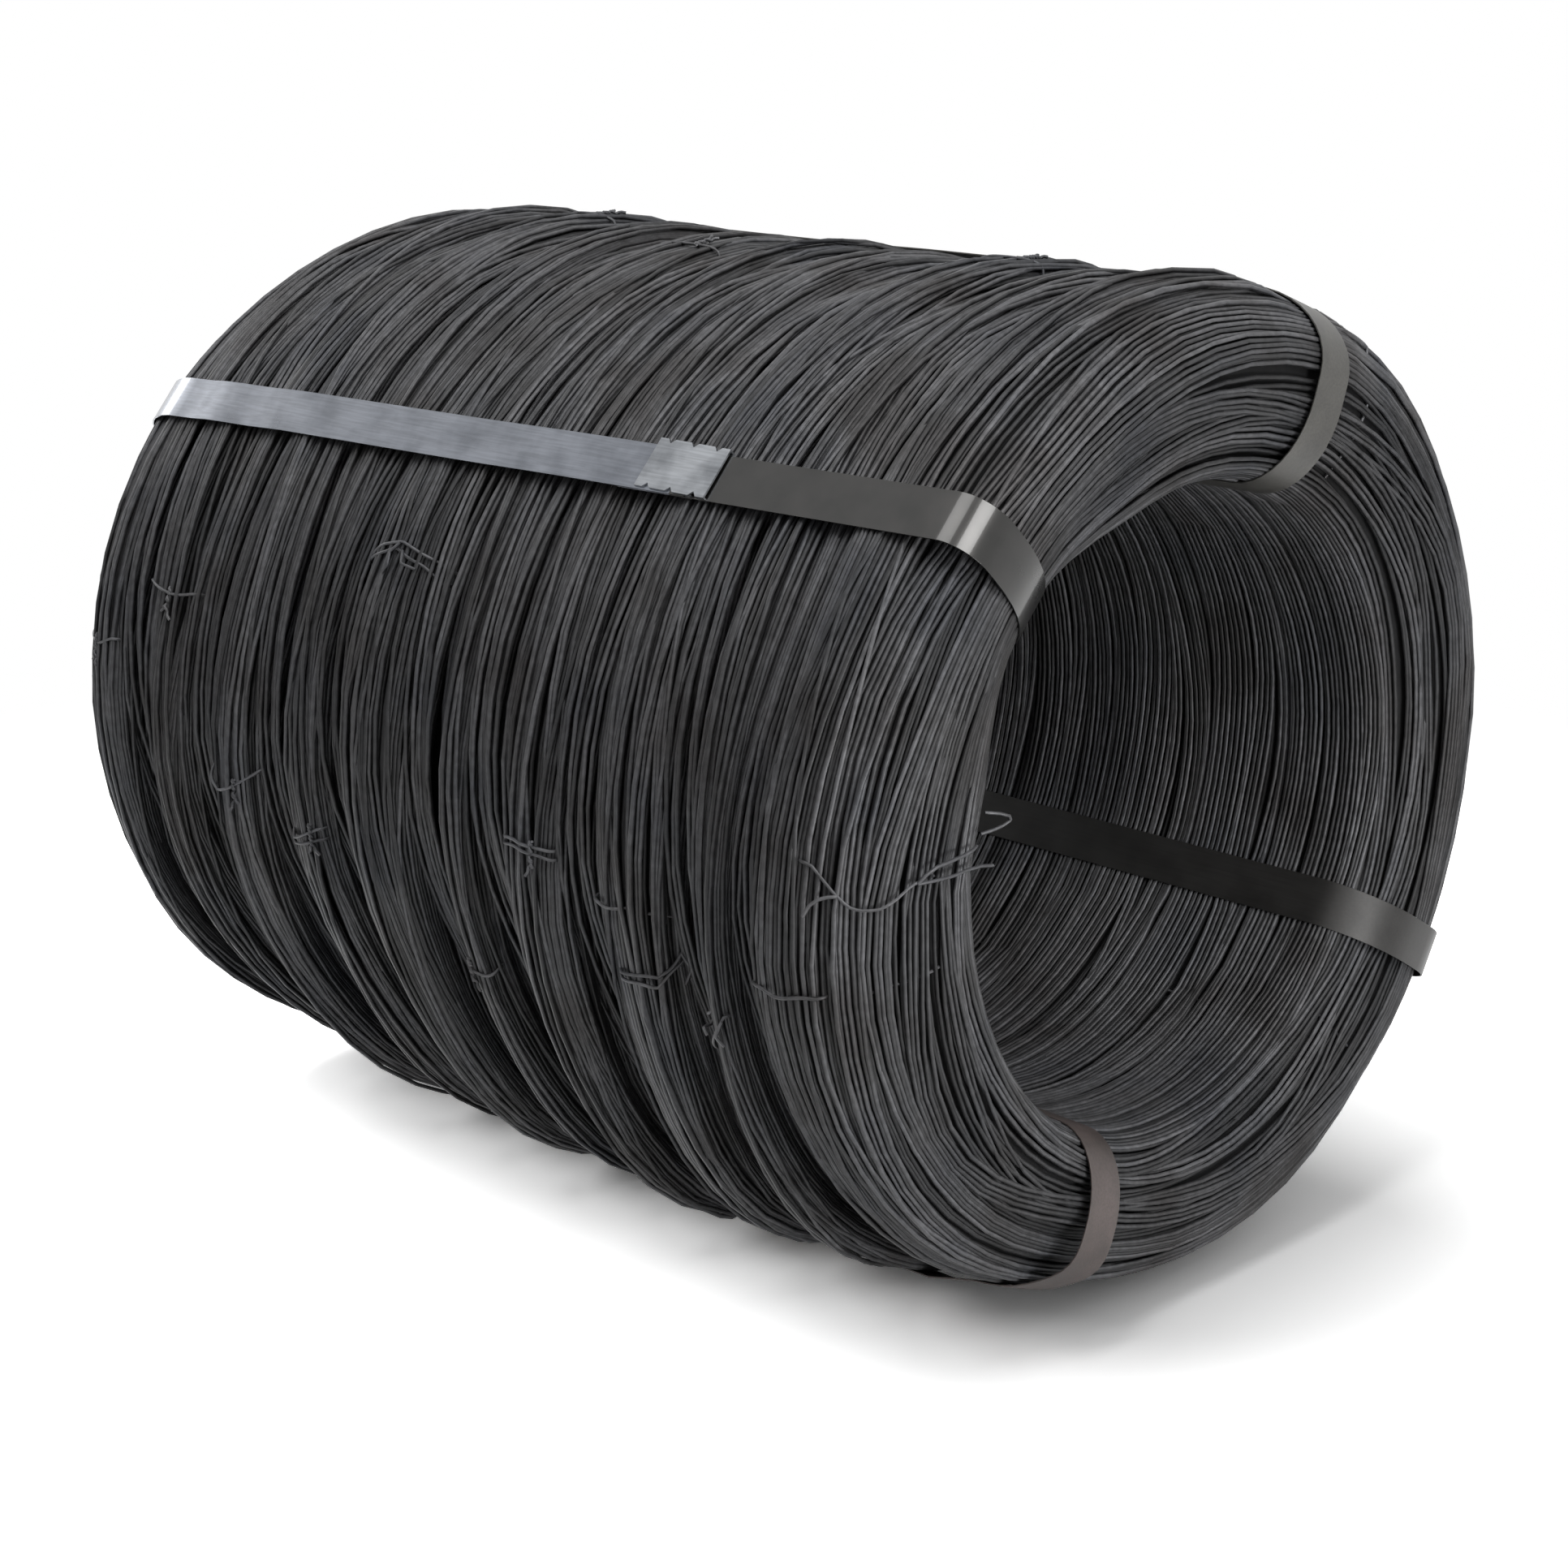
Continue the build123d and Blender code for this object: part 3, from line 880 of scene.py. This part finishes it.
# Strands on the crown, each as (mm from the crown's middle, angle in degrees) from end to end
TIE_COURSES = [
    [[(-20, 171.4), (4, 172.2), (24, 171.2)]],
    [[(-24, 162.8), (2, 163.9), (26, 163.1)]],
    [[(-34, 183.8), (-7, 186.1), (32, 182.7)]],
    [[(-34, 188.1), (-15, 189.7), (15, 187.6)], [(-34, 188.5), (-12, 190.3), (15, 188.9)]],
    [[(-47, 155.3), (-17, 152.3), (-1, 151.3), (41, 153.2)], [(-30, 154.2), (-4, 152.2), (36, 154.6)]],
    [[(-33, 198.8), (-13, 199.7), (12, 199.7)]],
    [[(-37, 181.0), (-7, 180.4), (22, 180.8)], [(-37, 181.3), (-7, 181.2), (22, 181.7)]],
    [[(-36, 184.6), (-8, 184.5)], [(-5, 191.8), (20, 191.7), (44, 188.3)],
     [(-5, 192.5), (20, 192.6), (44, 189.4)]],
    [[(-32, 194.5), (-18, 193.5)], [(-21, 198.3), (-4, 195.6), (12, 193.0)]],
    [[(-33, 187.0), (-12, 187.2), (8, 186.8)],
     [(7, 173.0), (13, 174.2), (20, 175.6), (28, 176.8), (34, 177.0), (45, 176.8), (53, 176.0), (63, 174.4)]],
]
# Loose ends, each as (mm from the crown's middle, angle in degrees, mm above the wire)
TIE_ENDS = {
    4: [
        [(-2, 151.6, 1), (-5, 152.9, 3), (-3, 154.4, 3), (-7, 155.3, 1)],
        [(2, 152.4, 1), (8, 153.9, 4), (17, 154.1, 2)],
    ],
    7: [[(40, 188.8, 1), (46, 190.8, 4), (40, 192.4, 3)]],
    8: [
        [(-30, 194.3, 2), (-24, 195.4, 4), (-18, 195.0, 5), (-12, 195.6, 3)],
        [(10, 193.4, 1), (4, 195.0, 3), (11, 196.0, 4)],
    ],
    9: [
        [(63, 174.4, 1), (65, 173.3, 2), (70, 172.4, 2), (80, 171.8, 2), (94, 171.4, 2), (102, 171.2, 1)],
        [(63, 174.4, 1), (74, 174.1, 2), (91, 174.0, 2), (104, 174.2, 4), (110, 174.4, 8)],
        [(22, 175.8, 1), (18, 175.9, 2), (13, 176.3, 2), (9, 177.0, 2), (6, 178.2, 2)],
        [(106, 169.6, 1), (110, 169.0, 5), (113, 168.2, 9), (114, 167.2, 12), (113, 166.5, 11),
         (111, 166.3, 7), (107, 166.4, 1)],
    ],
}


def tie_loop(curve, section, points):
    """One strand round a coil. On the crown it runs through the points."""
    lengths = np.arange(0, section.length, 3 * MM)
    offset = (lengths - section.crown + section.length / 2) % section.length - section.length / 2
    around = 2 * math.pi * lengths / section.length
    kinks = sum(draw.gauss(0, 0.4) * MM * np.sin(k * around + draw.uniform(0, 6)) for k in (5, 8, 13))
    along, degrees = np.array(points).T
    angles = np.radians(np.interp(offset / MM, along, degrees)) + kinks / section.radius
    beyond = np.maximum(along[0] * MM - offset, offset - along[-1] * MM)
    sunk = ease(beyond, 2 * MM, 12 * MM)
    add_spline(curve, place(section, angles, lengths, -TIE_RADIUS - 0.4 * MM + sunk * TIE_SINKING), True)


def loose_end(curve, section, points):
    along, degrees, above = np.array(points).T
    steps, knots = np.linspace(0, 1, 4 * len(points)), np.linspace(0, 1, len(points))
    along, degrees, above = [np.interp(steps, knots, row) for row in (along, degrees, above)]
    depth = -above * MM - TIE_RADIUS
    add_spline(curve, place(section, np.radians(degrees), section.crown + along * MM, depth), False)


def tie_twist(curve, section, angle, offset, heading):
    """Two strands twisted together along the coil, and their two loose ends."""
    steps = np.linspace(0, 1, 22)
    for strand in (0, math.pi):
        turn = steps * 3.5 * 2 * math.pi + strand
        spread = np.where(steps > 0.7, (steps - 0.7) / 0.3, 0)
        fan = spread * draw.uniform(2, 6) * MM * (1 if strand else -1)
        angles = angle + heading * steps * draw.uniform(13, 19) * MM / section.radius
        length = section.crown + offset + np.cos(turn) * 0.9 * MM * (1 - spread) + fan
        depth = -1.4 * MM + np.sin(turn) * 0.9 * MM * (1 - spread) - spread * draw.uniform(0, 1) * MM
        add_spline(curve, place(section, angles, length, depth), False)


def add_ties(section):
    name = f"ties_{section.index + 1:02d}"
    curve = wire_curve(name + "_wire", TIE_RADIUS, tie_wire)
    for points in TIE_COURSES[section.index]:
        tie_loop(curve, section, points)
    for points in TIE_ENDS.get(section.index, []):
        loose_end(curve, section, points)
    for order, degrees in enumerate(TIE_ANGLES[section.index]):
        angle = math.radians(degrees)
        if order:
            tie_loop(curve, section, [(-20, degrees), (20, degrees + draw.uniform(-1, 1))])
        if order or section.index not in TIE_ENDS:
            tie_twist(curve, section, angle, draw.uniform(-14, 14) * MM, (-1) ** order)
    add_piece(curve, name)
    return len(curve.splines)


print("strands in the ties:", [add_ties(section) for section in sections])
